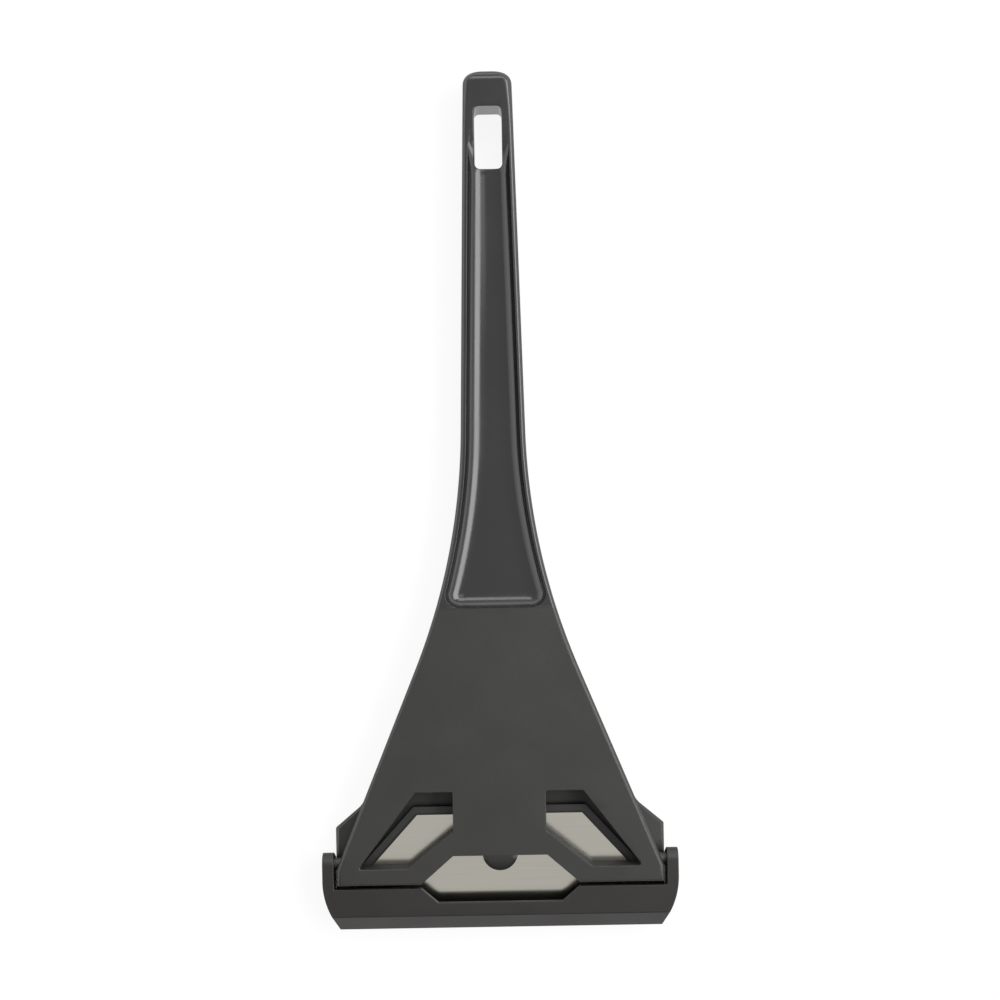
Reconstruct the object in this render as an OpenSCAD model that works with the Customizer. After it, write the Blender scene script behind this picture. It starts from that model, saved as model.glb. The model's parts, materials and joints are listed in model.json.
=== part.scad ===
// Ceramic hob scraper with a snap-in blade and a swivel blade guard.
// It lies on its back: X across the head, +Y towards the handle's end, +Z out of the front face.
// All sizes are in millimetres, and the origin is under the middle of the whole scraper.

/* [Overall] */
// Length over the closed guard and the handle
total_length = 169.6; // [150:0.2:200]
// Thickness of the handle and the head
body_depth = 8.2; // [7.6:0.1:10]

/* [Handle] */
// Width of the handle at its free end
handle_end_w = 9.6; // [9.4:0.1:13]
// Slope of the handle's sides up to the flare, from the long axis
handle_slope = 1.28; // [0.9:0.02:1.5]
// Radius of the flare on each side
flare_r = 130; // [110:1:145]
// Slope of the head's sides, from the long axis
flare_angle = 22.4; // [20.4:0.2:24]
// Radius of the two corners at the free end
end_corner_r = 2.7; // [1:0.1:3]
// Radius along the front edges
front_edge_r = 0.9; // [0.4:0.1:1.2]
// Radius along the back edges
back_edge_r = 1.2; // [0.5:0.1:1.4]

/* [Hollows] */
// Depth of the hollow in the front of the handle
hollow_depth = 2.5; // [1:0.1:2.8]
// Width of the plain rim beside the front hollow
hollow_rim = 1.1; // [0.9:0.1:1.4]
// Width of the curved wall on each side of the front hollow
hollow_cove = 3.1; // [1:0.1:3.4]
// Width of the curved wall at the head's end of the front hollow
hollow_end_cove = 1.8; // [0.8:0.1:3]
// Distance from the free end to the start of the front hollow
hollow_from_end = 7.7; // [6:0.1:12]
// Length over which the front hollow reaches its depth
hollow_ramp = 15; // [6:0.5:20]
// Distance from the front hollow to the bottom of the front plate
hollow_from_plate = 54.4; // [50:0.2:60]
// Depth of the hollow in the back of the handle
back_hollow_depth = 1.4; // [0.6:0.1:2.4]
// Width of the plain rim beside the back hollow
back_hollow_rim = 2.2; // [1.9:0.1:2.6]

/* [Hanging slot] */
// Width of the hanging slot
slot_w = 5.9; // [4.6:0.1:6.4]
// Length of the hanging slot
slot_l = 12.4; // [8:0.1:16]
// Distance from the free end to the hanging slot
slot_from_end = 7.1; // [5:0.1:9]
// Radius of the hanging slot's corners
slot_corner_r = 1.4; // [0.5:0.1:2]

/* [Head] */
// Distance from each end of the cutting edge to the side of the head
side_wall = 2.8; // [2.2:0.1:3.6]
// Distance from the guard's foot to the bottom of the front plate
plate_end = 9.1; // [8.95:0.05:9.5]
// Length of the straight sides of the front plate
straight_l = 3.1; // [2:0.1:4.5]
// Length of the straight sides of the back wall, up from the bottom of the front plate
shoulder_l = 10.5; // [9:0.1:14]
// Slope of the shoulders, from the long axis
shoulder_angle = 50; // [45:1:55]
// Radius of the hollow corner where each shoulder leaves the side
shoulder_r = 5; // [3:0.5:9]
// Bevel along the front of each shoulder
shoulder_bevel = 0.7; // [0.3:0.1:1]
// Thickness of the back wall under the blade
seat_t = 2.6; // [2:0.1:3]
// How far the back wall reaches past the front plate
seat_reach = 1.4; // [0.6:0.1:2]
// Height of the step from each side of the head in to the front plate
plate_step = 0.45; // [0.2:0.05:0.6]
// Radius along the bottom edge of the front plate
plate_edge_r = 0.45; // [0.4:0.05:0.6]

/* [Windows] */
// Distance between the two windows
window_gap = 18.4; // [17:0.1:20]
// Length of a window's top edge
window_top_l = 7.4; // [5:0.1:8]
// Length of a window's bottom edge
window_low_l = 9.9; // [8:0.1:11]
// Distance from the side of the head to a window
window_side = 4.7; // [4.2:0.1:5.6]
// Height of a window
window_h = 15; // [13:0.1:15.4]
// Height of a window's inner edge
window_side_h = 7.8; // [5.6:0.1:8.4]
// Distance from the bottom of the front plate to a window
window_bar = 3.2; // [3:0.1:3.8]
// Thickness of the floor round the blade's seat
pocket_floor = 1.2; // [0.8:0.1:1.6]
// Width of the locating rib
rib_w = 1.2; // [0.8:0.1:1.4]
// Width of the notch across its top
notch_top_w = 18.6; // [15:0.1:20]
// Width of the notch at the bottom of the front plate
notch_low_w = 31.5; // [30:0.1:33]
// Height of the notch
notch_h = 5.6; // [5:0.1:6.2]

/* [Blade] */
// Length of the cutting edge
blade_w = 60; // [54:0.2:66]
// Height from the back edge to the cutting edge
blade_h = 19; // [18.6:0.1:19.4]
// Thickness of the blade
blade_t = 0.6; // [0.3:0.05:0.8]
// Length of the back edge
blade_back_w = 33; // [31:0.5:35]
// Height of the straight ends beside the cutting edge
blade_end_h = 4.2; // [3.6:0.1:5]
// Height of the ground bevel
blade_grind_h = 3.5; // [1:0.1:4]
// Thickness left at the cutting edge
blade_edge_t = 0.12; // [0.08:0.01:0.2]
// Diameter of the hole in the blade
blade_hole_d = 7.3; // [7.2:0.05:8]
// Distance from the back edge to the middle of the hole
blade_hole_y = 6.9; // [6.7:0.1:7.2]
// Diameter of the stud that holds the blade
stud_d = 7; // [6.4:0.1:7.1]
// How far the stud's face lies below the face of the front plate
stud_step = 0.1; // [0.05:0.05:0.3]
// Radius round the front of the stud
stud_round = 1; // [0.4:0.1:1.4]
// Room round the blade's back edge and cut corners
blade_play = 0.4; // [0.2:0.05:0.5]
// Room over the thickness of the blade
blade_rise = 0.1; // [0.05:0.01:0.2]

/* [Guard] */
// Distance from the guard's foot to the cutting edge
guard_foot = 3.1; // [2.9:0.05:3.5]
// Distance from the guard's foot to its pivot
pivot_y = 13.1; // [12.95:0.05:13.35]
// Height of the pivot over the back face
pivot_z = 5.6; // [5.4:0.1:5.8]
// Diameter of the two pivot pins
pin_d = 2.4; // [1.6:0.1:2.6]
// How far each pin's end lies inside its ear
pin_sunk = 0.2; // [0.1:0.05:0.5]
// Running clearance round each pin
pin_clear = 0.05; // [0.03:0.01:0.08]
// Thickness of each ear
ear_t = 2.15; // [1.6:0.05:2.6]
// Gap between each ear and the side of the head
ear_gap = 0.25; // [0.2:0.05:0.4]
// Radius of the round ear end
ear_r = 2.2; // [2:0.05:2.4]
// How much nearer the foot the back corner of each ear is than its pivot
ear_lean = 1.2; // [0.8:0.1:1.6]
// Thickness of the guard's front wall
wall_t = 1.3; // [1.1:0.1:1.4]
// Gap between the front plate and the guard's front wall
wall_gap = 0.75; // [0.7:0.05:0.9]
// Width of the bevel along the front of the guard's foot
foot_bevel = 2.9; // [1.5:0.1:3.2]
// Height of the bevel along the front of the guard's foot
foot_drop = 2.2; // [1:0.1:2.4]
// Bevel along the back of the guard's foot
heel_bevel = 0.8; // [0.4:0.1:1.2]
// Clearance of the guard's floor round the swinging edge
swing_clear = 0.35; // [0.3:0.05:0.5]
// Height of the guard over the surface under the scraper
guard_lift = 0.4; // [0.2:0.1:0.8]
// Distance from the guard's foot to where its ends begin to curve in
curve_y = 10; // [8:0.1:11]
// Radius of the curved ends of the guard, seen from the front
end_r = 14.7; // [12:0.1:20]
// Width of the guard's notch across its top
guard_notch_top_w = 31.4; // [29:0.1:32]
// Width of the guard's notch across its bottom
guard_notch_low_w = 24.6; // [22:0.1:26]
// Depth of the guard's notch
guard_notch_h = 2.9; // [2:0.1:3.3]

/* [Hidden] */

// Steps round an edge, round a hollow's wall, along the flare and along the start of a hollow
edge_steps = 4;
cove_steps = 6;
flare_steps = 12;
ramp_steps = 6;
round_fn = 48;
// Overlap that keeps joined and cut shapes from meeting in one face
lap = 0.2;
// Least flat floor between the curved walls of a hollow
floor_min = 0.4;

head_w = blade_w + 2 * side_wall;
window_out = head_w / 2 - window_side;

y_end = total_length / 2;
y_foot = -total_length / 2;
y_plate = y_foot + plate_end;
y_edge = y_foot + guard_foot;
y_back = y_edge + blade_h;
y_stud = y_back - blade_hole_y;
y_pivot = y_foot + pivot_y;
y_seat = y_plate - seat_reach;
y_shoulder = y_plate + shoulder_l;
y_window = y_plate + window_bar;
y_lip = y_plate - wall_gap;

blade_front = seat_t + blade_t;
slot_top = blade_front + blade_rise;

// Sides of the handle and the front plate, at the distance s from the free end: a slow taper,
// an arc of flare_r, then a straight slope that stops at the sides of the head
plate_w = head_w / 2 - plate_step;
slope_end = y_end - y_plate - straight_l;
flare_l = flare_r * (sin(flare_angle) - sin(handle_slope));
flare_gain = flare_r * (cos(handle_slope) - cos(flare_angle));
// Start of the flare, where a slope that ends at slope_end meets the taper
flare_start =
    (slope_end - flare_l - (plate_w - handle_end_w / 2 - flare_gain) / tan(flare_angle))
    / (1 - tan(handle_slope) / tan(flare_angle));
slope_start = flare_start + flare_l;
hollow_to_end = y_end - y_plate - hollow_from_plate;

function taper_w(s) = handle_end_w / 2 + s * tan(handle_slope);
function flare_w(s) =
    let (a = asin(sin(handle_slope) + (s - flare_start) / flare_r))
    taper_w(flare_start) + flare_r * (cos(handle_slope) - cos(a));
function line_w(s) = plate_w - (slope_end - s) * tan(flare_angle);
function side_w(s) =
    s < flare_start ? taper_w(s)
    : s < slope_start ? flare_w(s)
    : min(plate_w, line_w(s));
// What a corner of radius r takes away at the distance d from its start
function corner(r, d) = d >= r ? 0 : r - sqrt(r * r - (r - d) * (r - d));

// Share of a hollow's depth, which grows smoothly past the hanging slot
function ramp(s) =
    let (t = min(1, max(0, (s - hollow_from_end) / hollow_ramp)))
    t * t * (3 - 2 * t);
// Nearness to the head's end of a hollow: 0 on its floor, 1 at its end
function nearness(s) = min(1, max(0, 1 - (hollow_to_end - s) / hollow_end_cove));
// Depth of a hollow at the distance s from the free end and at the angle a round its wall
function dip(s, a, depth) =
    depth * ramp(s) * sqrt(max(0, sin(a) ^ 2 - nearness(s) ^ 2));

// Where each shoulder's line crosses the slope of the side, and the arc between the two
shoulder_run =
    (head_w / 2 - line_w(y_end - y_shoulder))
    / (sin(shoulder_angle) - cos(shoulder_angle) * tan(flare_angle));
shoulder_tangent = shoulder_r * tan((shoulder_angle - flare_angle) / 2);
shoulder_s = y_end - y_shoulder;
cross_s = shoulder_s - shoulder_run * cos(shoulder_angle);
arc_start = cross_s - shoulder_tangent * cos(flare_angle);
arc_end = cross_s + shoulder_tangent * cos(shoulder_angle);

// Half-width of the wall behind the blade, which widens into the shoulders
function arc_w(s) =
    let (a = asin(sin(flare_angle) + (s - arc_start) / shoulder_r))
    line_w(arc_start) + shoulder_r * (cos(flare_angle) - cos(a));
function wall_w(s) =
    s <= arc_start ? side_w(s)
    : s < arc_end ? arc_w(s)
    : min(head_w / 2, head_w / 2 - (shoulder_s - s) * tan(shoulder_angle));

// Half of one face, from its middle over the floor and wall of its hollow and round its edge
function half_face(s, w, depth, r, rim) =
    let (
        flat = w - r - corner(end_corner_r, s),
        top = -corner(r, s),
        cove = min(hollow_cove, w - rim - floor_min)
    )
    concat(
        [for (i = [cove_steps:-1:0]) let (a = 90 * i / cove_steps)
            [(w - rim - cove * (1 - cos(a))) * flat / (w - r), top - dip(s, a, depth)]],
        [for (i = [edge_steps:-1:0]) let (a = 90 * i / edge_steps)
            [flat + r * cos(a), top - r + r * sin(a)]]
    );
// Three points down the side: along the shoulder where there is one, else spread evenly
function half_side(s, w, wall, z_high, z_low) =
    let (
        step = wall - w,
        bevel = min(shoulder_bevel, 0.8 * step),
        x = w - corner(end_corner_r, s)
    )
    step > 0 ? [
        [w, blade_front],
        [wall - bevel, blade_front - (shoulder_bevel - bevel) / 2],
        [wall, blade_front - shoulder_bevel]
    ]
    : [for (i = [1:3]) [x, z_high + (z_low - z_high) * i / 4]];
function body_section(s) =
    let (
        front = half_face(s, side_w(s), hollow_depth, front_edge_r, hollow_rim),
        back = half_face(s, wall_w(s), back_hollow_depth, back_edge_r, back_hollow_rim),
        last = len(front) - 1,
        side = half_side(s, side_w(s), wall_w(s), body_depth + front[last][1], -back[last][1]),
        half = concat(
            [for (p = front) [p[0], body_depth + p[1]]],
            side,
            [for (i = [last:-1:0]) [back[i][0], -back[i][1]]]
        )
    )
    concat(
        [for (p = half) [p[0], y_end - s, p[1]]],
        [for (i = [len(half) - 1:-1:0]) [-half[i][0], y_end - s, half[i][1]]]
    );

// Distances of the body's sections from the free end
body_stations = concat(
    [for (i = [0:edge_steps]) end_corner_r * (1 - cos(90 * i / edge_steps))],
    [for (i = [0:ramp_steps]) hollow_from_end + hollow_ramp * i / ramp_steps],
    [for (i = [0:flare_steps - 1])
        let (s = flare_start + flare_l * i / flare_steps)
        if (s < hollow_to_end - hollow_end_cove - floor_min) s],
    [for (i = [0:cove_steps])
        hollow_to_end - hollow_end_cove * (1 - sin(90 * i / cove_steps))],
    [for (i = [1:flare_steps])
        let (s = flare_start + flare_l * i / flare_steps)
        if (s > hollow_to_end + floor_min) s],
    [for (i = [0:edge_steps]) arc_start + (arc_end - arc_start) * i / edge_steps],
    [shoulder_s, slope_end, y_end - y_seat]
);

// Skin through all sections, closed at both ends by a fan round the height z
module skin(sections, z) {
    n = len(sections[0]);
    last = len(sections) - 1;
    sides = [for (i = [0:last - 1]) for (j = [0:n - 1])
        let (a = i * n + j, b = i * n + (j + 1) % n)
        each [[a, b, b + n], [a, b + n, a + n]]];
    hub = n * len(sections);
    start = [for (j = [0:n - 1]) [hub, (j + 1) % n, j]];
    end = [for (j = [0:n - 1]) [hub + 1, last * n + j, last * n + (j + 1) % n]];
    polyhedron(
        points = concat(
            [for (ring = sections) for (p = ring) p],
            [for (i = [0, last]) [0, sections[i][0][1], z]]
        ),
        faces = concat(start, sides, end),
        convexity = 6
    );
}

module both_sides() {
    children();
    mirror([1, 0, 0]) children();
}

// Places a side view, drawn as [y, z], so that it is as thick as t along X
module along_x(x, t) {
    translate([x, 0, 0]) rotate([90, 0, 90]) linear_extrude(t) children();
}

// Trapezium whose sides run on past its wide end, so that a cut leaves no skin there
module flared_cut(narrow_w, narrow_y, wide_w, wide_y) {
    past_y = wide_y > narrow_y ? wide_y + lap : wide_y - lap;
    past_x = wide_w / 2 + (wide_w - narrow_w) / 2 * lap / abs(wide_y - narrow_y);
    polygon([
        [-narrow_w / 2, narrow_y], [narrow_w / 2, narrow_y],
        [past_x, past_y], [-past_x, past_y]
    ]);
}

// Outline of the blade down to y_low, grown by g along its back edge and cut corners
cut_angle = atan2((blade_w - blade_back_w) / 2, blade_h - blade_end_h);
module blade_outline(g, y_low) {
    back_x = blade_back_w / 2 + g * (1 - sin(cut_angle)) / cos(cut_angle);
    side_x = blade_w / 2 + g;
    side_y = y_back + g - (side_x - back_x) / tan(cut_angle);
    polygon([
        [-back_x, y_back + g], [back_x, y_back + g], [side_x, side_y],
        [side_x, y_low], [-side_x, y_low], [-side_x, side_y]
    ]);
}

module window_outline() {
    inner = window_gap / 2;
    y_top = y_window + window_h;
    polygon([
        [inner, y_top], [inner + window_top_l, y_top], [window_out, y_window],
        [window_out - window_low_l, y_window], [inner, y_top - window_side_h]
    ]);
}

module hanging_slot() {
    r = slot_corner_r;
    y_low = y_end - slot_from_end - slot_l;
    translate([0, 0, -lap]) linear_extrude(body_depth + 2 * lap) union() {
        translate([-slot_w / 2, y_low + r]) square([slot_w, slot_l - 2 * r]);
        translate([-slot_w / 2 + r, y_low]) square([slot_w - 2 * r, slot_l]);
        for (x = [-1, 1], y = [r, slot_l - r])
            translate([x * (slot_w / 2 - r), y_low + y]) circle(r = r, $fn = round_fn);
    }
}

// Space for the blade between the back wall and the front plate, open towards the edge
module blade_slot() {
    translate([0, 0, seat_t]) linear_extrude(slot_top - seat_t)
        blade_outline(blade_play, y_seat - lap);
}

// A window through the front plate, with a deeper floor outside the locating rib
module window() {
    translate([0, 0, slot_top - lap / 2]) linear_extrude(body_depth) window_outline();
    translate([0, 0, pocket_floor]) linear_extrude(slot_top - pocket_floor) difference() {
        window_outline();
        blade_outline(blade_play + rib_w, y_seat);
    }
}

module plate_notch() {
    translate([0, 0, slot_top - lap / 2]) linear_extrude(body_depth)
        flared_cut(notch_top_w, y_plate + notch_h, notch_low_w, y_plate);
}

// Ends the front plate at y_plate, with a round edge, and leaves the wall behind the blade
module plate_end_cut() {
    r = plate_edge_r;
    along_x(-head_w / 2 - lap, head_w + 2 * lap) {
        translate([y_seat - lap, slot_top])
            square([y_plate - y_seat + lap, body_depth - slot_top + lap]);
        difference() {
            translate([y_plate - lap, body_depth - r]) square([r + lap, r + lap]);
            translate([y_plate + r, body_depth - r]) circle(r = r, $fn = round_fn);
        }
    }
}

// Stud that the blade snaps over, with a rounded front
module stud() {
    r = stud_d / 2;
    top = body_depth - stud_step;
    translate([0, y_stud, 0]) rotate_extrude($fn = round_fn) union() {
        translate([0, seat_t - lap]) square([r, top - stud_round - seat_t + lap]);
        square([r - stud_round, top]);
        intersection() {
            translate([r - stud_round, top - stud_round]) circle(r = stud_round, $fn = round_fn);
            square([r, top]);
        }
    }
}

// Pivot pins of the guard, moulded on the sides of the front plate
ear_x = head_w / 2 + ear_gap;
module pivot_pins() {
    pin_root = window_out + pin_d / 2;
    for (x = [pin_root, pin_sunk - ear_x - ear_t])
        translate([x, y_pivot, pivot_z]) rotate([0, 90, 0])
            cylinder(d = pin_d, h = ear_x + ear_t - pin_sunk - pin_root, $fn = round_fn);
}

module scraper_body() {
    color([0.30, 0.30, 0.31]) {
        difference() {
            skin([for (s = body_stations) body_section(s)], (blade_front + body_depth) / 2);
            hanging_slot();
            blade_slot();
            both_sides() window();
            plate_notch();
            plate_end_cut();
        }
        stud();
        pivot_pins();
    }
}

// Trapezium blade with a hole for the stud and an edge ground from the front
module blade() {
    grind_angle = atan((blade_t - blade_edge_t) / blade_grind_h);
    color([0.76, 0.75, 0.71]) difference() {
        translate([0, 0, seat_t]) linear_extrude(blade_t) blade_outline(0, y_edge);
        translate([0, y_stud, seat_t - lap])
            cylinder(d = blade_hole_d, h = blade_t + 2 * lap, $fn = round_fn);
        translate([-blade_w, y_edge + blade_grind_h, blade_front]) rotate([grind_angle, 0, 0])
            translate([0, -2 * blade_grind_h, 0])
                cube([2 * blade_w, 2 * blade_grind_h, blade_t]);
    }
}

// Side view of one ear, which closes the channel's end and has a round end on the pivot
guard_front = pivot_z + ear_r;
ear_low = guard_lift + ear_r;
floor_r = norm([y_pivot - y_edge, pivot_z - seat_t]) + swing_clear;
module foot_profile(y_top) {
    polygon([
        [y_top, guard_front], [y_foot + foot_bevel, guard_front],
        [y_foot, guard_front - foot_drop], [y_foot, guard_lift + heel_bevel],
        [y_foot + heel_bevel, guard_lift], [y_top, guard_lift]
    ]);
}
module ear_profile() {
    y_low = y_pivot - ear_lean;
    lean_angle = atan2(ear_lean, pivot_z - ear_low);
    side_y = ear_r * cos(lean_angle);
    side_z = ear_r * sin(lean_angle);
    difference() {
        union() {
            foot_profile(y_low);
            translate([y_low, ear_low]) circle(r = ear_r, $fn = round_fn);
            translate([y_pivot, pivot_z]) circle(r = ear_r, $fn = round_fn);
            polygon([
                [y_low, ear_low], [y_low, guard_front],
                [y_pivot, guard_front], [y_pivot, pivot_z],
                [y_pivot + side_y, pivot_z - side_z], [y_low + side_y, ear_low - side_z]
            ]);
        }
        translate([y_pivot, pivot_z]) circle(d = pin_d + 2 * pin_clear, $fn = round_fn);
    }
}

// Side view of the channel: a front wall, and a floor round the swinging edge of the blade
module channel_profile() {
    difference() {
        foot_profile(y_lip);
        intersection() {
            translate([y_pivot, pivot_z]) circle(r = floor_r, $fn = 4 * round_fn);
            translate([y_foot, -floor_r]) square([2 * floor_r, floor_r + guard_front - wall_t]);
        }
    }
}

// Front view of the guard, with curved ends
module guard_outline() {
    w = ear_x + ear_t;
    y_curve = y_foot + curve_y;
    curve = [for (i = [0:edge_steps])
        let (d = (curve_y - foot_bevel) * i / edge_steps)
        [w - end_r + sqrt(end_r ^ 2 - d ^ 2), y_curve - d]];
    right = concat(
        [[w, y_pivot + 2 * ear_r]], curve,
        [[curve[edge_steps][0] - foot_bevel / 2, y_foot]]
    );
    polygon(concat(right, [for (i = [len(right) - 1:-1:0]) [-right[i][0], right[i][1]]]));
}

module blade_guard() {
    color([0.28, 0.28, 0.29]) intersection() {
        difference() {
            union() {
                along_x(-ear_x - lap, 2 * (ear_x + lap)) channel_profile();
                both_sides() along_x(ear_x, ear_t) ear_profile();
            }
            translate([0, 0, guard_front - wall_t - lap]) linear_extrude(wall_t + 2 * lap)
                flared_cut(guard_notch_low_w, y_lip - guard_notch_h, guard_notch_top_w, y_lip);
        }
        linear_extrude(body_depth) guard_outline();
    }
}

scraper_body();
blade();
blade_guard();
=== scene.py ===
import json
import math

import bmesh
import bpy
from mathutils import Matrix, Vector

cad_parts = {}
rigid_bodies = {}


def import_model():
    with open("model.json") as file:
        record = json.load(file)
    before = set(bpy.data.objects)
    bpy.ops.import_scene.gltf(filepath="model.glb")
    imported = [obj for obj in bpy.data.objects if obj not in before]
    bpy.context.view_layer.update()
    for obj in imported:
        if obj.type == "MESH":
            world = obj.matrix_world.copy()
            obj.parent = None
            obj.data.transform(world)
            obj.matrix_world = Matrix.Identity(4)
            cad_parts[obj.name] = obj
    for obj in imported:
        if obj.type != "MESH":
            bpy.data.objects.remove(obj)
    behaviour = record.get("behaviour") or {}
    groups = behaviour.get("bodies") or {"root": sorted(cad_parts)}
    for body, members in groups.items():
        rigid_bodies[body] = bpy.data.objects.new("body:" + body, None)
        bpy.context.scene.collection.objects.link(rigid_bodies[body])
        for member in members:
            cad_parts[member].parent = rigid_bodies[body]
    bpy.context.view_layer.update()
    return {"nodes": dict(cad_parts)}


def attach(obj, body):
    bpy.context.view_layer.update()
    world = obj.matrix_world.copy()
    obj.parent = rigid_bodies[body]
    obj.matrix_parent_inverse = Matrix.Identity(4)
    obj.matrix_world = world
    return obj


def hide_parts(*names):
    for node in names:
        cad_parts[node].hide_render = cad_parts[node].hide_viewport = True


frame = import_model()
print("frame loaded:", sorted(frame["nodes"]))

mm = 0.001

# the scraper lies on its back: x across the head, +y to the handle's end, z up
whole = {"length": 169.6, "depth": 8.2}
yEnd = whole["length"] / 2
yFoot = -yEnd

# the blade sets the scale, and the head and the guard take their places from it
steel = {
    "width": 60.0,
    "height": 19.0,
    "thick": 0.6,
    "back": 33.0,
    "ends": 4.2,
    "grind": 3.5,
    "edge": 0.12,
    "hole": 7.3,
    "holeFromBack": 6.9,
    "play": 0.4,
    "rise": 0.1,
    "foot": 3.1,  # from the guard's foot to the cutting edge
}

head = {
    "sideWall": 2.8,
    "plateEnd": 9.1,
    "straight": 3.1,
    "shoulder": 10.5,
    "shoulderAngle": 50.0,
    "shoulderRadius": 5.0,
    "shoulderBevel": 0.7,
    "seat": 2.6,
    "seatReach": 1.4,
    "finger": 1.2,  # how far the wall runs on at each end of the blade
    "plateStep": 0.45,
    "plateEdge": 0.45,
}

guard = {
    "pivotY": 13.1,
    "pivotZ": 5.6,
    "pin": 2.4,
    "pinSunk": 0.2,
    "pinClear": 0.05,
    "ear": 2.15,
    "earGap": 0.25,
    "earInset": 0.13,  # the ears' inner faces sit this much nearer the head
    "earRadius": 2.2,
    "earLean": 1.2,  # how far the ear's back corner lies towards the foot
    "wall": 1.3,
    "wallGap": 0.75,
    "footBevel": 2.9,
    "footDrop": 2.2,
    "heelBevel": 0.8,
    "swing": 0.35,
    "lift": 0.4,
    "curveY": 10.0,
    "endRadius": 14.7,
    "notchTop": 31.4,
    "notchLow": 24.6,
    "notch": 2.9,
    "edge": 0.16,
}


def tanD(a):
    return math.tan(math.radians(a))


def sinD(a):
    return math.sin(math.radians(a))


def cosD(a):
    return math.cos(math.radians(a))


# places along the scraper that several pieces share
headWidth = steel["width"] + 2 * head["sideWall"]
yPlate = yFoot + head["plateEnd"]
yEdge = yFoot + steel["foot"]
yBack = yEdge + steel["height"]
yStud = yBack - steel["holeFromBack"]
yPivot = yFoot + guard["pivotY"]
ySeat = yPlate - head["seatReach"]
yLip = yPlate - guard["wallGap"]
bladeFront = head["seat"] + steel["thick"]
slotTop = bladeFront + steel["rise"]
earX = headWidth / 2 + guard["earGap"]
guardFront = guard["pivotZ"] + guard["earRadius"]

plateW = headWidth / 2 - head["plateStep"]

handle = {
    "endWidth": 9.6,
    "slope": 1.28,
    "flareRadius": 130.0,
    "flareAngle": 22.4,
    "endCorner": 2.7,  # the two corners at the free end
    "endRound": 2.1,  # how far the end's front edge runs in
    "endSoft": 0.8,  # extra radius of the front edge at the free end
    "endSoftLength": 12.0,
    "frontEdge": 0.9,
    "backEdge": 1.2,
    "edgeSteps": 8,
}

hollow = {
    "depth": 2.5,
    "rim": 1.1,
    "cove": 4.3,
    "endCove": 3.4,
    "start": 11.5,
    "ramp": 9.5,
    "fromPlate": 54.4,
    "lip": 0.12,  # radius round the rim's inner edge
    "backDepth": 1.4,
    "backRim": 2.2,
    "coveSteps": 18,
    "lipSteps": 4,
}

slopeEnd = yEnd - yPlate - head["straight"]
flareL = handle["flareRadius"] * (sinD(handle["flareAngle"]) - sinD(handle["slope"]))
flareGain = handle["flareRadius"] * (cosD(handle["slope"]) - cosD(handle["flareAngle"]))
flareStart = (
    slopeEnd
    - flareL
    - (plateW - handle["endWidth"] / 2 - flareGain) / tanD(handle["flareAngle"])
) / (1 - tanD(handle["slope"]) / tanD(handle["flareAngle"]))
slopeStart = flareStart + flareL
hollowEnd = yEnd - yPlate - hollow["fromPlate"]


def taperWidth(s):
    return handle["endWidth"] / 2 + s * tanD(handle["slope"])


def lineWidth(s):
    return plateW - (slopeEnd - s) * tanD(handle["flareAngle"])


def sideWidth(s):  # half-width of the front at the distance s from the free end
    if s < flareStart:
        return taperWidth(s)
    if s < slopeStart:
        a = math.asin(sinD(handle["slope"]) + (s - flareStart) / handle["flareRadius"])
        return taperWidth(flareStart) + handle["flareRadius"] * (
            cosD(handle["slope"]) - math.cos(a)
        )
    return min(plateW, lineWidth(s))


def corner(r, d):  # what a corner of radius r takes away at the distance d
    return 0.0 if d >= r else r - math.sqrt(r * r - (r - d) ** 2)


# the wall behind the blade widens into two shoulders
shoulderS = yEnd - yPlate - head["shoulder"]
shoulderRun = (headWidth / 2 - lineWidth(shoulderS)) / (
    sinD(head["shoulderAngle"]) - cosD(head["shoulderAngle"]) * tanD(handle["flareAngle"])
)
shoulderTangent = head["shoulderRadius"] * tanD(
    (head["shoulderAngle"] - handle["flareAngle"]) / 2
)
crossS = shoulderS - shoulderRun * cosD(head["shoulderAngle"])
arcStart = crossS - shoulderTangent * cosD(handle["flareAngle"])
arcEnd = crossS + shoulderTangent * cosD(head["shoulderAngle"])


def wallWidth(s):
    if s <= arcStart:
        return sideWidth(s)
    if s < arcEnd:
        a = math.asin(sinD(handle["flareAngle"]) + (s - arcStart) / head["shoulderRadius"])
        return lineWidth(arcStart) + head["shoulderRadius"] * (
            cosD(handle["flareAngle"]) - math.cos(a)
        )
    out = (shoulderS - s) * tanD(head["shoulderAngle"])
    return min(headWidth / 2, headWidth / 2 - out)


# deepest point of a hollow and the share of its side walls that is left
def hollowDepth(s, depth):
    t = min(1.0, max(0.0, (s - hollow["start"]) / hollow["ramp"]))
    deep = depth * t ** 3 * (t * (6 * t - 15) + 10)
    near = min(1.0, max(0.0, 1 - (hollowEnd - s) / hollow["endCove"]))
    left = math.sqrt(max(0.0, 1 - near * near))
    return deep * left, left


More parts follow.
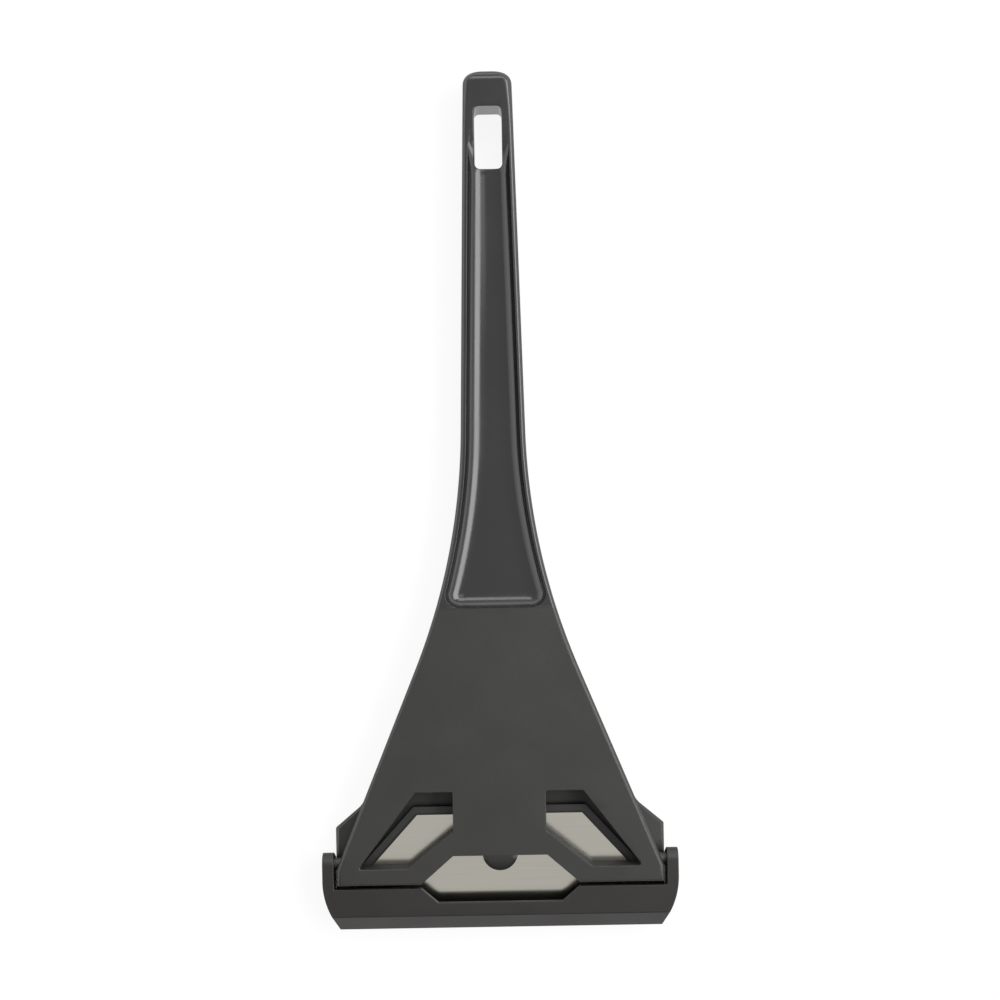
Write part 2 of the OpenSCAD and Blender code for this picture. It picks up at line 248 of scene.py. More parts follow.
def halfFace(s, w, depth, r, rim):
    r += handle["endSoft"] * max(0.0, 1 - s / handle["endSoftLength"]) ** 2
    rim = max(rim, r + 0.04)
    flat = w - r - corner(handle["endCorner"], s)
    top = -corner(handle["endRound"], s) * r / handle["endRound"]
    cove = min(hollow["cove"], w - rim - 0.25)
    deep, left = hollowDepth(s, depth)
    spread = left if s <= hollowEnd else min(1.0, (s - hollowEnd) / 3)
    lip = min(hollow["lip"], 0.45 * deep)
    first = math.asin(lip / deep) if deep > 1e-6 else 0.0
    floorX = w - rim - cove
    points = []
    for i in range(hollow["coveSteps"], -1, -1):
        a = first + (math.pi / 2 - first) * i / hollow["coveSteps"]
        points.append((floorX + cove * spread * math.cos(a), top - deep * math.sin(a)))
    edgeX, edgeZ = points[-1]
    for i in range(1, hollow["lipSteps"] + 1):
        a = math.pi / 2 * i / hollow["lipSteps"]
        points.append((edgeX + lip * (1 - math.cos(a)), edgeZ + lip * math.sin(a)))
    scale = flat / (w - r)
    points = [(x * scale, z) for x, z in points]
    points += [
        (
            flat + r * math.cos(math.pi / 2 * i / handle["edgeSteps"]),
            top - r + r * math.sin(math.pi / 2 * i / handle["edgeSteps"]),
        )
        for i in range(handle["edgeSteps"], -1, -1)
    ]
    return points


def bodySection(s):
    w, wall = sideWidth(s), wallWidth(s)
    front = halfFace(s, w, hollow["depth"], handle["frontEdge"], hollow["rim"])
    back = halfFace(s, wall, hollow["backDepth"], handle["backEdge"], hollow["backRim"])
    step = wall - w
    bevel = min(head["shoulderBevel"], 0.8 * step)
    if step > 1e-6:
        side = [
            (w, bladeFront),
            (wall - bevel, bladeFront - (head["shoulderBevel"] - bevel) / 2),
            (wall, bladeFront - head["shoulderBevel"]),
        ]
    else:
        x = w - corner(handle["endCorner"], s)
        high, low = whole["depth"] + front[-1][1], -back[-1][1]
        side = [(x, high + (low - high) * i / 4) for i in (1, 2, 3)]
    half = [(x, whole["depth"] + z) for x, z in front] + side
    half += [(x, -z) for x, z in reversed(back)]
    y = yEnd - s
    return [(x, y, z) for x, z in half] + [(-x, y, z) for x, z in reversed(half)]


def spaced(a, b, n):
    return [a + (b - a) * i / n for i in range(n + 1)]


def bodyStations():
    r = handle["endCorner"]
    first = [r * (1 - cosD(90 * i / 12)) for i in range(13)]
    first += spaced(3.3, hollow["start"], 6) + spaced(hollow["start"] + 0.4, 18.6, 16)
    first += spaced(20.0, hollow["start"] + hollow["ramp"], 4)
    middle = spaced(25.0, flareStart, 20) + spaced(flareStart, hollowEnd - 2.6, 26)
    ends = [
        hollowEnd - hollow["endCove"] * (1 - sinD(90 * i / 18)) for i in range(19)
    ]
    last = spaced(hollowEnd + 1, arcStart, 24) + spaced(arcStart, arcEnd, 10)
    last += [shoulderS, slopeEnd, yEnd - ySeat, yEnd - ySeat + head["finger"]]
    return sorted(set(round(s, 5) for s in first + middle + ends + last))


def newObject(name, bm):
    mesh = bpy.data.meshes.new(name)
    bm.to_mesh(mesh)
    bm.free()
    obj = bpy.data.objects.new(name, mesh)
    bpy.context.scene.collection.objects.link(obj)
    return obj


def skinMesh(name, sections):
    bm = bmesh.new()
    rings = [[bm.verts.new(p) for p in ring] for ring in sections]
    n = len(rings[0])
    for a, b in zip(rings, rings[1:]):
        for j in range(n):
            k = (j + 1) % n
            bm.faces.new((a[j], b[j], b[k], a[k]))
    bm.faces.new(rings[0])
    bm.faces.new(list(reversed(rings[-1])))
    bmesh.ops.remove_doubles(bm, verts=bm.verts, dist=2e-4)
    bmesh.ops.recalc_face_normals(bm, faces=bm.faces)
    return newObject(name, bm)


# outline with an arc of the radius at each corner
def roundCorners(points, r, steps=6):
    n, out = len(points), []
    for i, p in enumerate(points):
        p = Vector(p)
        a = (Vector(points[i - 1]) - p).normalized()
        b = (Vector(points[(i + 1) % n]) - p).normalized()
        turn = a.angle(b)
        reach = r / math.tan(turn / 2)
        middle = p + (a + b).normalized() * (r / math.sin(turn / 2))
        start, end = p + a * reach - middle, p + b * reach - middle
        sweep = start.angle(end)
        for k in range(steps + 1):
            t = k / steps
            d = start * math.sin((1 - t) * sweep) + end * math.sin(t * sweep)
            out.append(tuple(middle + d / math.sin(sweep)))
    return out


def area(points):
    n = len(points)
    return 0.5 * sum(
        points[i][0] * points[(i + 1) % n][1] - points[(i + 1) % n][0] * points[i][1]
        for i in range(n)
    )


# outline moved out by a distance, corner for corner
def grown(points, by):
    n, out = len(points), []
    sign = 1 if area(points) > 0 else -1
    for i in range(n):
        p, q, r = (Vector(points[k % n]) for k in (i - 1, i, i + 1))
        a, b = (q - p).normalized(), (r - q).normalized()
        na, nb = Vector((a.y, -a.x)) * sign, Vector((b.y, -b.x)) * sign
        m = (na + nb).normalized()
        out.append(tuple(q + m * (by / max(0.3, m.dot(na)))))
    return out


def ringMesh(name, rings):
    bm = bmesh.new()
    verts = [[bm.verts.new(p) for p in ring] for ring in rings]
    n = len(verts[0])
    for a, b in zip(verts, verts[1:]):
        for j in range(n):
            k = (j + 1) % n
            bm.faces.new((a[j], a[k], b[k], b[j]))
    bm.faces.new(list(reversed(verts[0])))
    bm.faces.new(verts[-1])
    bmesh.ops.recalc_face_normals(bm, faces=bm.faces)
    return newObject(name, bm)


def prism(name, outline, zLow, zHigh):
    return ringMesh(name, [[(x, y, z) for x, y in outline] for z in (zLow, zHigh)])


# cutter whose wall flares out in an arc just under the surface height(x, y)
def softCutter(name, outline, zLow, edge, height, steps=5):
    rings = [[(x, y, zLow) for x, y in outline]]
    for i in range(steps + 1):
        a = math.radians(72) * i / steps
        ring = grown(outline, edge * (1 - math.cos(a)))
        rings.append(
            [(x, y, height(x, y) - edge * (1 - math.sin(a))) for x, y in ring]
        )
    ring = grown(outline, edge * (1 - math.cos(a)) + 2 * edge)
    rise = 2 * edge / math.tan(a)
    rings.append(
        [(x, y, height(x, y) - edge * (1 - math.sin(a)) + rise) for x, y in ring]
    )
    rings.append([(x, y, whole["depth"] + 2) for x, y in ring])
    return ringMesh(name, rings)


def boolean(obj, tool, operation="DIFFERENCE"):
    mod = obj.modifiers.new("cut", "BOOLEAN")
    mod.operation = operation
    mod.solver = "EXACT"
    mod.object = tool
    view = bpy.context.evaluated_depsgraph_get()
    mesh = bpy.data.meshes.new_from_object(obj.evaluated_get(view))
    obj.modifiers.remove(mod)
    old, obj.data = obj.data, mesh
    bpy.data.meshes.remove(old)
    bpy.data.objects.remove(tool)
    return obj


def sideProfile(name, outline, x, thick):  # outline is drawn as (y, z)
    rings = [[(xx, y, z) for y, z in outline] for xx in (x, x + thick)]
    return ringMesh(name, rings)


def arc(cx, cy, r, start, end, steps):
    return [
        (cx + r * cosD(start + (end - start) * i / steps),
         cy + r * sinD(start + (end - start) * i / steps))
        for i in range(steps + 1)
    ]


# cleans a cut mesh, scales it to metres and lets flat faces stay flat
def finishMesh(obj, angle=38, merge=2e-4):
    bm = bmesh.new()
    bm.from_mesh(obj.data)
    bmesh.ops.remove_doubles(bm, verts=bm.verts, dist=merge)
    bmesh.ops.dissolve_degenerate(bm, edges=bm.edges, dist=merge)
    bmesh.ops.scale(bm, vec=(mm, mm, mm), verts=bm.verts)
    bmesh.ops.recalc_face_normals(bm, faces=bm.faces)
    limit = math.radians(angle)
    for e in bm.edges:
        e.smooth = len(e.link_faces) == 2 and e.calc_face_angle(0) < limit
    for f in bm.faces:
        f.smooth = True
    bm.to_mesh(obj.data)
    bm.free()
    mod = obj.modifiers.new("even shading", "WEIGHTED_NORMAL")
    mod.keep_sharp = True
    mod.weight = 60
    return obj


def bladeOutline(g, yLow):
    cut = math.atan2((steel["width"] - steel["back"]) / 2, steel["height"] - steel["ends"])
    backX = steel["back"] / 2 + g * (1 - math.sin(cut)) / math.cos(cut)
    sideX = steel["width"] / 2 + g
    sideY = yBack + g - (sideX - backX) / math.tan(cut)
    return [
        (-backX, yBack + g), (-sideX, sideY), (-sideX, yLow),
        (sideX, yLow), (sideX, sideY), (backX, yBack + g),
    ]


window = {
    "gap": 18.4,
    "top": 7.4,
    "low": 9.9,
    "side": 4.7,
    "height": 15.0,
    "inner": 7.8,
    "bar": 3.2,
    "pocketFloor": 1.2,
    "rib": 1.2,
    "corner": 0.35,
    "edge": 0.18,
    "notchTop": 18.6,
    "notchLow": 31.5,
    "notchHeight": 5.6,
}

yWindow = yPlate + window["bar"]


def windowOutline(side):
    inner = window["gap"] / 2
    out = headWidth / 2 - window["side"]
    top = yWindow + window["height"]
    points = [
        (inner, top), (inner, top - window["inner"]), (out - window["low"], yWindow),
        (out, yWindow), (inner + window["top"], top),
    ]
    points = [(side * x, y) for x, y in points]
    return roundCorners(points, window["corner"], 4)


def notchOutline(low):
    half, wide = window["notchTop"] / 2, window["notchLow"] / 2
    more = (wide - half) / window["notchHeight"] * low
    return [
        (-half, yPlate + window["notchHeight"]), (-wide - more, yPlate - low),
        (wide + more, yPlate - low), (half, yPlate + window["notchHeight"]),
    ]


hangingSlot = {"width": 5.5, "length": 12.0, "fromEnd": 7.15, "corner": 1.0, "edge": 0.2}


# height of the front skin over a point beside the hanging slot
def frontHeight(x, y):
    s = yEnd - y
    face = halfFace(s, sideWidth(s), hollow["depth"], handle["frontEdge"], hollow["rim"])
    x = abs(x)
    if x <= face[0][0]:
        return whole["depth"] + face[0][1]
    for (xa, za), (xb, zb) in zip(face, face[1:]):
        if xa <= x <= xb and xb > xa:
            return whole["depth"] + za + (zb - za) * (x - xa) / (xb - xa)
    return whole["depth"] + face[-1][1]


def plateHeight(x, y):
    return whole["depth"]


def scraperBody():
    body = skinMesh("scraper_moulding", [bodySection(s) for s in bodyStations()])
    w, l = hangingSlot["width"] / 2, hangingSlot["length"]
    yTop = yEnd - hangingSlot["fromEnd"]
    slotLine = roundCorners(
        [(-w, yTop - l), (w, yTop - l), (w, yTop), (-w, yTop)], hangingSlot["corner"], 10
    )
    longLine = []  # extra points down the slot's sides, for the sloping floor
    for i, p in enumerate(slotLine):
        q = slotLine[(i + 1) % len(slotLine)]
        n = max(1, round((Vector(q) - Vector(p)).length / 0.6))
        longLine += [(p[0] + (q[0] - p[0]) * k / n, p[1] + (q[1] - p[1]) * k / n)
                     for k in range(n)]
    boolean(body, softCutter("slot", longLine, -1, hangingSlot["edge"], frontHeight))
    for side in (1, -1):
        line = windowOutline(side)
        boolean(body, softCutter("window", line, slotTop - 0.1, window["edge"], plateHeight))
    line = notchOutline(1.0)
    boolean(body, softCutter("notch", line, slotTop - 0.1, window["edge"], plateHeight))
    r = head["plateEdge"]
    low = slotTop - 0.05
    profile = [(ySeat - 3, low), (yPlate, low), (yPlate, whole["depth"] - r)]
    profile += arc(yPlate + r, whole["depth"] - r, r, 180, 98, 6)[1:]
    profile += [(yPlate + r, whole["depth"] + 1), (ySeat - 3, whole["depth"] + 1)]
    wide = headWidth + 2
    boolean(body, sideProfile("plate_end", profile, -wide / 2, wide))
    slotLow = ySeat - head["finger"] - 1
    boolean(body, prism("blade_slot", bladeOutline(steel["play"], slotLow), head["seat"], slotTop))
    inner = steel["width"] / 2 - 0.6
    seatEnd = [(-inner, slotLow), (inner, slotLow), (inner, ySeat), (-inner, ySeat)]
    boolean(body, prism("seat_end", seatEnd, -1, head["seat"] + 0.2))
    for side in (1, -1):
        pocket = prism("pocket", windowOutline(side), window["pocketFloor"], slotTop + 0.05)
        rib = prism("rib", bladeOutline(steel["play"] + window["rib"], ySeat - 2), 0, 9)
        boolean(pocket, rib)
        boolean(body, pocket)
    boolean(body, studMesh(), "UNION")
    for side in (1, -1):
        boolean(body, pinMesh(side), "UNION")
    return finishMesh(body)


# profile of (radius, height) points turned round an axis; place(x, y, z) sets it down
def latheMesh(name, profile, steps, place):
    rings = []
    for r, h in profile:
        rings.append([
            place(r * math.cos(2 * math.pi * k / steps), r * math.sin(2 * math.pi * k / steps), h)
            for k in range(steps)
        ])
    return ringMesh(name, rings)


stud = {"diameter": 7.0, "step": 0.1, "bevel": 0.62, "bevelAngle": 27.0, "steps": 72}


def studMesh():
    r, top = stud["diameter"] / 2, whole["depth"] - stud["step"]
    profile = [(r, head["seat"] - 0.3)]
    drop = stud["bevel"] * tanD(stud["bevelAngle"])
    profile += [(r, top - drop - 0.06), (r - 0.02, top - drop), (r - stud["bevel"], top)]
    profile.append((0.2, top + 0.004))
    return latheMesh("stud", profile, stud["steps"], lambda x, y, z: (x, y + yStud, z))


def pinMesh(side):
    r, c = guard["pin"] / 2, 0.25
    root = headWidth / 2 - window["side"] + r
    end = earX + guard["ear"] - guard["pinSunk"]
    profile = [(r, root), (r, end - c)]
    profile += [(r - c + c * cosD(a), end - c + c * sinD(a)) for a in (30, 60, 90)]
    return latheMesh(
        "pin", profile, 48,
        lambda x, y, z: (side * z, yPivot + x, guard["pivotZ"] + y * side),
    )


body = scraperBody()
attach(body, "scraper")
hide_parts("scraper_body")
print("scraper body:", len(body.data.polygons), "faces")


def bevelEdges(obj, width, segments, angle=30, keep=lambda e: True):
    bm = bmesh.new()
    bm.from_mesh(obj.data)
    bmesh.ops.remove_doubles(bm, verts=bm.verts, dist=1e-3)
    bmesh.ops.dissolve_limit(
        bm, angle_limit=math.radians(0.3), verts=bm.verts, edges=bm.edges
    )
    limit = math.radians(angle)
    edges = [
        e for e in bm.edges
        if len(e.link_faces) == 2 and e.calc_face_angle(0) > limit and keep(e)
    ]
    bmesh.ops.bevel(
        bm, geom=edges, offset=width, segments=segments, profile=0.5,
        affect="EDGES", clamp_overlap=False,
    )
    bm.to_mesh(obj.data)
    bm.free()


def bladePiece():
    blade = prism("scraper_blade", bladeOutline(0, yEdge), head["seat"], bladeFront)
    r = steel["hole"] / 2
    hole = arc(0, yStud, r, 0, 355, 71)
    boolean(blade, prism("hole", hole, head["seat"] - 1, bladeFront + 1))
    drop = (steel["thick"] - steel["edge"]) / steel["grind"]
    grind = [
        (yEdge + steel["grind"], bladeFront),
        (yEdge - 2, bladeFront - drop * (steel["grind"] + 2)),
        (yEdge - 2, bladeFront + 1), (yEdge + steel["grind"], bladeFront + 1),
    ]
    boolean(blade, sideProfile("grind", grind, -40, 80))
    bevelEdges(blade, 0.035, 1, 50)
    return finishMesh(blade, 30, 1e-4)


blade = bladePiece()
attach(blade, "scraper")
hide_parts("blade")
print("blade:", len(blade.data.polygons), "faces")


floorR = math.hypot(yPivot - yEdge, guard["pivotZ"] - head["seat"]) + guard["swing"]


def footProfile(yTop):
    fb, hb = guard["footBevel"], guard["heelBevel"]
    return [
        (yTop, guardFront), (yFoot + fb, guardFront), (yFoot, guardFront - guard["footDrop"]),
        (yFoot, guard["lift"] + hb), (yFoot + hb, guard["lift"]), (yTop, guard["lift"]),
    ]


def guardPiece():
    channel = sideProfile("guard_shell", footProfile(yLip), -earX - 0.2, 2 * earX + 0.4)
    high = guardFront - guard["wall"]
    lift = math.degrees(math.asin((high - guard["pivotZ"]) / floorR))
    inner = arc(yPivot, guard["pivotZ"], floorR, 180 - lift, 270, 72)
    inner += [(yPivot, high)]
    boolean(channel, sideProfile("swing_room", inner, -earX - 2, 2 * earX + 4))
    for side in (1, -1):
        thick = guard["ear"] + guard["earInset"]
        x = earX - guard["earInset"] if side > 0 else -earX - guard["ear"]
        y0, r = yPivot, guard["earRadius"]
        low, lean = guard["lift"] + r, guard["earLean"]
        tilt = -math.degrees(math.atan2(lean, guard["pivotZ"] - low))
        ear = footProfile(y0)[1:-1] + arc(y0 - lean, low, r, -90, tilt, 14)
        ear += arc(y0, guard["pivotZ"], r, tilt, 90, 14)
        strap = sideProfile("ear", ear, x, thick)
        boolean(channel, strap, "UNION")
        bore = arc(y0, guard["pivotZ"], guard["pin"] / 2 + guard["pinClear"], 0, 352.5, 47)
        boolean(channel, sideProfile("bore", bore, x - 0.5, thick + 1))
    top, deep = guard["notchTop"] / 2, guard["notch"]
    lowW = guard["notchLow"] / 2
    more = (top - lowW) / deep
    notch = [
        (-lowW, yLip - deep), (lowW, yLip - deep), (top + more, yLip + 1), (-top - more, yLip + 1),
    ]
    boolean(channel, prism("guard_notch", notch, high - 0.3, guardFront + 1))
    w, c = earX + guard["ear"], guard["curveY"]
    r = guard["endRadius"]
    side = [(w, yPivot + 5)]
    for i in range(15):
        d = (c - guard["footBevel"]) * i / 14
        side.append((w - r + math.sqrt(r * r - d * d), yFoot + c - d))
    side.append((side[-1][0] - guard["footBevel"] / 2, yFoot - 0.02))
    outline = side + [(-x, y) for x, y in reversed(side)]
    boolean(channel, prism("guard_outline", outline, -1, 9), "INTERSECT")
    bevelEdges(channel, guard["edge"], 3, 24)
    return finishMesh(channel, 36)


shield = guardPiece()
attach(shield, "guard")
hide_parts("blade_guard")
print("guard:", len(shield.data.polygons), "faces")


def newMaterial(name):
    mat = bpy.data.materials.new(name)
    mat.use_nodes = True
    nodes = mat.node_tree.nodes
    return mat, nodes, mat.node_tree.links, nodes["Principled BSDF"]


def addNode(nodes, kind, **inputs):
    node = nodes.new(kind)
    for key, value in inputs.items():
        node.inputs[key.replace("_", " ")].default_value = value
    return node


plastic = {
    "polished": (0.0150, 0.0146, 0.0156, 1),
    "polishedLight": (0.0195, 0.0190, 0.0200, 1),
    "textured": (0.0126, 0.0123, 0.0114, 1),
    "texturedLight": (0.0172, 0.0167, 0.0154, 1),
    "polishedRough": 0.17,
    "rimRough": 0.22,
    "texturedRough": 0.44,
    "shine": 0.47,
    "guardShine": 0.4,
    "plateStart": -0.0213,  # y where the textured plate begins
    "studReach": (1.40e-5, 1.28e-5),  # squared distance from the stud's axis
    "studShown": (-0.0700, -0.0702),  # y where the notch uncovers the stud
    "polishEnd": 0.0685,  # y where the polish of the hollow fades out beside the slot
    "wallRough": 0.3,  # how much rougher the steep walls round the blade are
}


def chain(nodes, links, operation, a, b):
    node = nodes.new("ShaderNodeMath")
    node.operation = operation
    for socket, value in zip(node.inputs, (a, b)):
        if isinstance(value, (int, float)):
            socket.default_value = value
        else:
            links.new(value, socket)
    return node.outputs[0]


def remap(nodes, links, value, fromMin, fromMax, toMin=0.0, toMax=1.0, smooth=True):
    node = nodes.new("ShaderNodeMapRange")
    node.interpolation_type = "SMOOTHSTEP" if smooth else "LINEAR"
    for key, number in zip(
        ("From Min", "From Max", "To Min", "To Max"), (fromMin, fromMax, toMin, toMax)
    ):
        node.inputs[key].default_value = number
    links.new(value, node.inputs["Value"])
    return node.outputs["Result"]


def mixColour(nodes, links, factor, a, b):
    node = nodes.new("ShaderNodeMix")
    node.data_type = "RGBA"
    for key, value in (("A", a), ("B", b)):
        if isinstance(value, tuple):
            node.inputs[key].default_value = value
        else:
            links.new(value, node.inputs[key])
    links.new(factor, node.inputs["Factor"])
    return node.outputs["Result"]


def mouldedPlastic(name, hollowed, shine, tone=(1, 1, 1)):
    mat, nodes, links, shader = newMaterial(name)
    place = nodes.new("ShaderNodeTexCoord")
    cloud = addNode(nodes, "ShaderNodeTexNoise", Scale=90.0, Detail=3.0)
    grain = addNode(nodes, "ShaderNodeTexNoise", Scale=5200.0, Detail=2.0, Roughness=0.6)
    for tex in (cloud, grain):
        links.new(place.outputs["Object"], tex.inputs["Vector"])
    fog, dust = cloud.outputs["Fac"], grain.outputs["Fac"]

    def toned(key):
        return tuple(c * t for c, t in zip(plastic[key][:3], tone)) + (1,)

    speck = remap(nodes, links, dust, 0.35, 0.65, -0.3, 0.3, False)
    blotch = chain(nodes, links, "ADD", fog, speck)
    colour = mixColour(nodes, links, blotch, toned("textured"), toned("texturedLight"))
    rough = remap(nodes, links, fog, 0.3, 0.7, -0.03, 0.03, False)
    bump = addNode(nodes, "ShaderNodeBump", Distance=0.00002)
    links.new(dust, bump.inputs["Height"])
    shader.inputs["Specular IOR Level"].default_value = shine
    if hollowed:
        # the handle is smooth, its hollow polished, and the head plate finely textured
        spot, face = nodes.new("ShaderNodeSeparateXYZ"), nodes.new("ShaderNodeSeparateXYZ")
        links.new(place.outputs["Object"], spot.inputs[0])
        links.new(place.outputs["Normal"], face.inputs[0])
        start = plastic["plateStart"]
        smoothPart = remap(nodes, links, spot.outputs["Y"], start - 0.0006, start + 0.0006)
        low = remap(nodes, links, spot.outputs["Z"], 0.00819, 0.00806)
        lean = chain(nodes, links, "MULTIPLY", spot.outputs["X"], face.outputs["X"])
        inward = remap(nodes, links, lean, 0.0006, 0.0002)
        polish = chain(nodes, links, "MULTIPLY", low, inward)
        polish = chain(nodes, links, "MULTIPLY", polish, smoothPart)
        belowSlot = remap(nodes, links, spot.outputs["Y"], plastic["polishEnd"], 0.0645)
        polish = chain(nodes, links, "MULTIPLY", polish, belowSlot)
        finer = mixColour(nodes, links, fog, toned("polished"), toned("polishedLight"))
        colour = mixColour(nodes, links, smoothPart, colour, finer)
        level = remap(
            nodes, links, smoothPart, 0, 1, plastic["texturedRough"], plastic["rimRough"], False
        )
        drop = remap(
            nodes, links, polish, 0, 1, 0, plastic["rimRough"] - plastic["polishedRough"], False
        )
        level = chain(nodes, links, "SUBTRACT", level, drop)
        tall = nodes.new("ShaderNodeMath")
        tall.operation = "ABSOLUTE"
        links.new(face.outputs["Z"], tall.inputs[0])
        steep = remap(nodes, links, tall.outputs[0], 0.6, 0.2, 0, plastic["wallRough"])
        atHead = remap(nodes, links, spot.outputs["Y"], start, start - 0.01)
        steep = chain(nodes, links, "MULTIPLY", steep, atHead)
        level = chain(nodes, links, "ADD", level, steep)
        # the stud that holds the blade is polished where it shows in the notch
        across = chain(nodes, links, "MULTIPLY", spot.outputs["X"], spot.outputs["X"])
        along = chain(nodes, links, "SUBTRACT", spot.outputs["Y"], yStud * mm)
        along = chain(nodes, links, "MULTIPLY", along, along)
        reach = chain(nodes, links, "ADD", across, along)
        onStud = remap(nodes, links, reach, *plastic["studReach"])
        shown = remap(nodes, links, spot.outputs["Y"], *plastic["studShown"])
        onStud = chain(nodes, links, "MULTIPLY", onStud, shown)
        rough = chain(nodes, links, "ADD", rough, level)
        rough = chain(nodes, links, "MULTIPLY", rough, remap(nodes, links, onStud, 0, 1, 1, 0.3))
        links.new(remap(nodes, links, smoothPart, 0, 1, 0.8, 0.05, False), bump.inputs["Strength"])
    else:
        rough = chain(nodes, links, "ADD", rough, plastic["texturedRough"])
        bump.inputs["Strength"].default_value = 0.8
    links.new(colour, shader.inputs["Base Color"])
    links.new(rough, shader.inputs["Roughness"])
    links.new(bump.outputs["Normal"], shader.inputs["Normal"])
    return mat


satin = {
    "dark": (0.46, 0.445, 0.39, 1),
    "light": (0.53, 0.515, 0.455, 1),
    "smoothest": 0.15,
    "roughest": 0.20,
    "lines": (60, 4200, 60),  # grinding lines run along the edge
    "lineDepth": 0.06,
}


def brushedSteel():
    mat, nodes, links, shader = newMaterial("satin ground steel")
    shader.inputs["Metallic"].default_value = 1.0
    place = nodes.new("ShaderNodeTexCoord")
    stretch = nodes.new("ShaderNodeMapping")
    stretch.inputs["Scale"].default_value = satin["lines"]
    links.new(place.outputs["Object"], stretch.inputs["Vector"])
    lines = addNode(nodes, "ShaderNodeTexNoise", Scale=1.0, Detail=4.0, Roughness=0.65)
    links.new(stretch.outputs["Vector"], lines.inputs["Vector"])
    cloud = addNode(nodes, "ShaderNodeTexNoise", Scale=130.0, Detail=2.0)
    links.new(place.outputs["Object"], cloud.inputs["Vector"])
    tone = nodes.new("ShaderNodeMix")
    tone.data_type = "RGBA"
    tone.inputs["A"].default_value = satin["dark"]
    tone.inputs["B"].default_value = satin["light"]
    links.new(lines.outputs["Fac"], tone.inputs["Factor"])
    links.new(tone.outputs["Result"], shader.inputs["Base Color"])
    rough = nodes.new("ShaderNodeMapRange")
    rough.inputs["To Min"].default_value = satin["smoothest"]
    rough.inputs["To Max"].default_value = satin["roughest"]
    links.new(cloud.outputs["Fac"], rough.inputs["Value"])
    links.new(rough.outputs["Result"], shader.inputs["Roughness"])
    bump = addNode(nodes, "ShaderNodeBump", Distance=0.00001, Strength=satin["lineDepth"])
    links.new(lines.outputs["Fac"], bump.inputs["Height"])
    links.new(bump.outputs["Normal"], shader.inputs["Normal"])
    return mat


body.data.materials.append(mouldedPlastic("charcoal plastic", True, plastic["shine"]))
shield.data.materials.append(
    mouldedPlastic("textured charcoal plastic", False, plastic["guardShine"], (0.74, 0.68, 0.68))
)
blade.data.materials.append(brushedSteel())
print("materials set")


studio = {
    "floorTone": 0.9,
    "floorGlow": 0.9,  # share of plain white in the floor as the camera sees it
    "ambient": 0.45,
    "overhead": 0.8,  # what a glossy face sees above it
    "horizon": 2.4,  # how much brighter the tent is at its sides
    "opening": 0.9,  # how dark the tent's open side is
}

# tilts are degrees from straight up, towards +x and +y
lamps = {
    "right softbox": {"tilt": (39, 8), "span": (22, 56), "glow": 8.0},
    "inner softbox": {"tilt": (20, 24), "span": (20, 28), "glow": 1.6},
    "top softbox": {"tilt": (4, 42), "span": (38, 16), "glow": 4.2},
    "left strip": {"tilt": (-58, 0), "span": (24, 60), "glow": 1.2},
}


def seenRay(nodes, links):  # 1 for a ray of the camera and for one mirrored or let through
    path = nodes.new("ShaderNodeLightPath")
    rays = path.outputs["Is Camera Ray"], path.outputs["Is Glossy Ray"]
    total = chain(nodes, links, "ADD", *rays)
    total = chain(nodes, links, "ADD", total, path.outputs["Is Transmission Ray"])
    return chain(nodes, links, "MINIMUM", total, 1.0)


def floorMaterial():
    mat, nodes, links, shader = newMaterial("white sweep")
    shader.inputs["Base Color"].default_value = (studio["floorTone"],) * 3 + (1,)
    shader.inputs["Roughness"].default_value = 0.9
    glow = addNode(nodes, "ShaderNodeEmission", Strength=1.0)
    part = chain(nodes, links, "MULTIPLY", seenRay(nodes, links), studio["floorGlow"])
    mix = nodes.new("ShaderNodeMixShader")
    links.new(part, mix.inputs[0])
    links.new(shader.outputs[0], mix.inputs[1])
    links.new(glow.outputs[0], mix.inputs[2])
    links.new(mix.outputs[0], nodes["Material Output"].inputs["Surface"])
    return mat


bpy.ops.mesh.primitive_plane_add(size=6, location=(0, 0, -0.00002))
sweep = bpy.context.object
sweep.name = "studio_floor"
sweep.data.materials.append(floorMaterial())

world = bpy.data.worlds.new("light tent")
bpy.context.scene.world = world
world.use_nodes = True
worldNodes, worldLinks = world.node_tree.nodes, world.node_tree.links
backdrop = worldNodes["Background"]
backdrop.inputs["Color"].default_value = (1, 1, 1, 1)
path = worldNodes.new("ShaderNodeLightPath")
look = worldNodes.new("ShaderNodeTexCoord")
parts = worldNodes.new("ShaderNodeSeparateXYZ")
worldLinks.new(look.outputs["Generated"], parts.inputs[0])
side = remap(worldNodes, worldLinks, parts.outputs["Z"], 0.65, 0.0, 0, studio["horizon"])
mirrored = chain(worldNodes, worldLinks, "ADD", side, studio["overhead"])
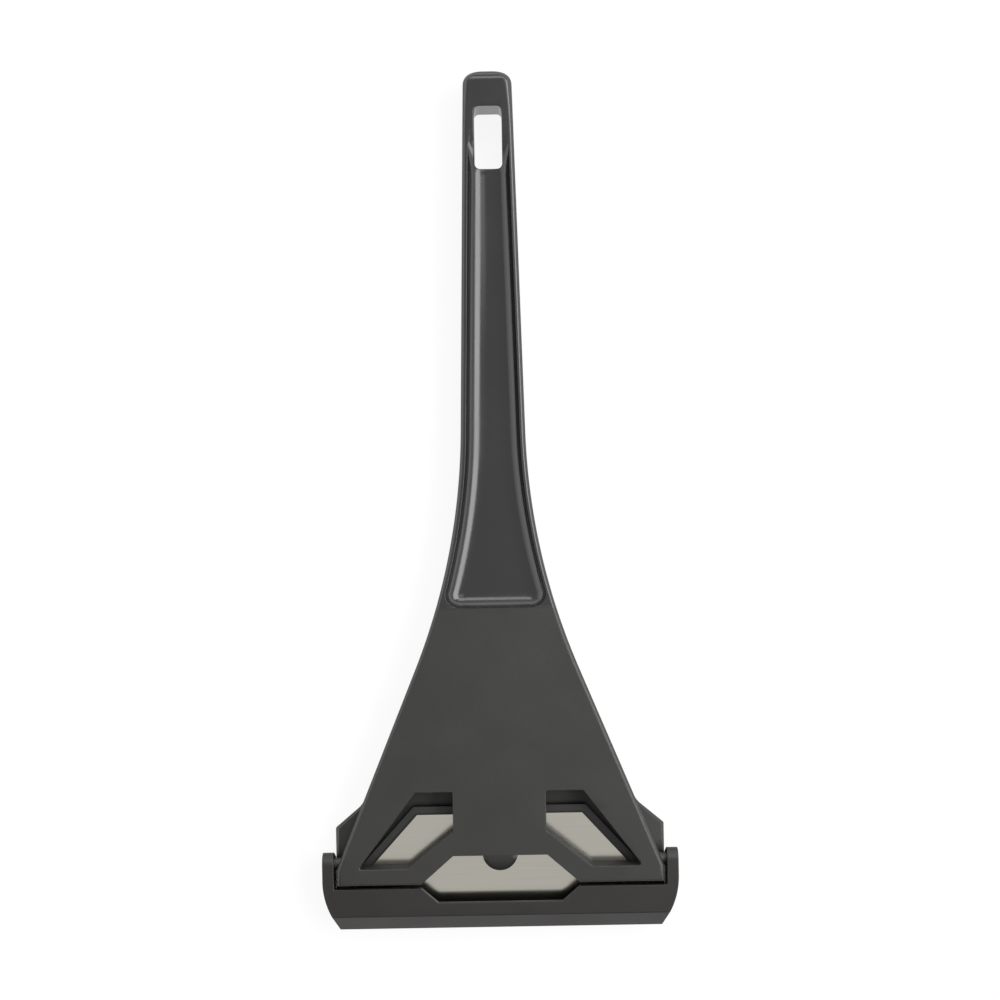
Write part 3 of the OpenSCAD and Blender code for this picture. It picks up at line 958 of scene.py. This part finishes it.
# the tent is open towards the viewer's end, where it shows dark above the table
front = remap(worldNodes, worldLinks, parts.outputs["Y"], -0.28, -0.55, 0, studio["opening"])
above = remap(worldNodes, worldLinks, parts.outputs["Z"], 0.12, 0.35)
dark = chain(worldNodes, worldLinks, "MULTIPLY", front, above)
kept = chain(worldNodes, worldLinks, "SUBTRACT", 1.0, dark)
mirrored = chain(worldNodes, worldLinks, "MULTIPLY", mirrored, kept)
gain = chain(worldNodes, worldLinks, "SUBTRACT", mirrored, studio["ambient"])
gain = chain(worldNodes, worldLinks, "MULTIPLY", gain, path.outputs["Is Glossy Ray"])
level = chain(worldNodes, worldLinks, "ADD", gain, studio["ambient"])
direct = chain(worldNodes, worldLinks, "MAXIMUM", level, path.outputs["Is Camera Ray"])
worldLinks.new(direct, backdrop.inputs["Strength"])


def softBox(name, tilt, span, glow, reach=1.0):
    away = Vector((tanD(tilt[0]), tanD(tilt[1]), 1)).normalized() * reach
    size = [2 * reach * tanD(a / 2) for a in span]
    data = bpy.data.lights.new(name, "AREA")
    data.shape = "RECTANGLE"
    data.size, data.size_y = size
    data.energy = glow * math.pi * size[0] * size[1]
    lamp = bpy.data.objects.new(name, data)
    lamp.location = away
    lamp.rotation_mode = "QUATERNION"
    back = away.normalized()
    across = Vector((0, 1, 0)).cross(back).normalized()
    turn = Matrix((across, back.cross(across), back)).transposed()
    lamp.rotation_quaternion = turn.to_quaternion()
    bpy.context.scene.collection.objects.link(lamp)
    return lamp


for name, lamp in lamps.items():
    softBox(name, lamp["tilt"], lamp["span"], lamp["glow"])

viewer = {"place": (0.00116, -0.00007, 0.3582), "turn": -0.98, "lens": 63.96, "sensor": 36}

cameraData = bpy.data.cameras.new("camera")
cameraData.sensor_width = viewer["sensor"]
cameraData.lens = viewer["lens"]
cameraData.clip_start, cameraData.clip_end = 0.01, 20
camera = bpy.data.objects.new("camera", cameraData)
camera.location = viewer["place"]
camera.rotation_euler = (0, 0, math.radians(viewer["turn"]))
bpy.context.scene.collection.objects.link(camera)
bpy.context.scene.camera = camera
bpy.context.scene.view_settings.view_transform = "Standard"
print("floor, light and camera set")
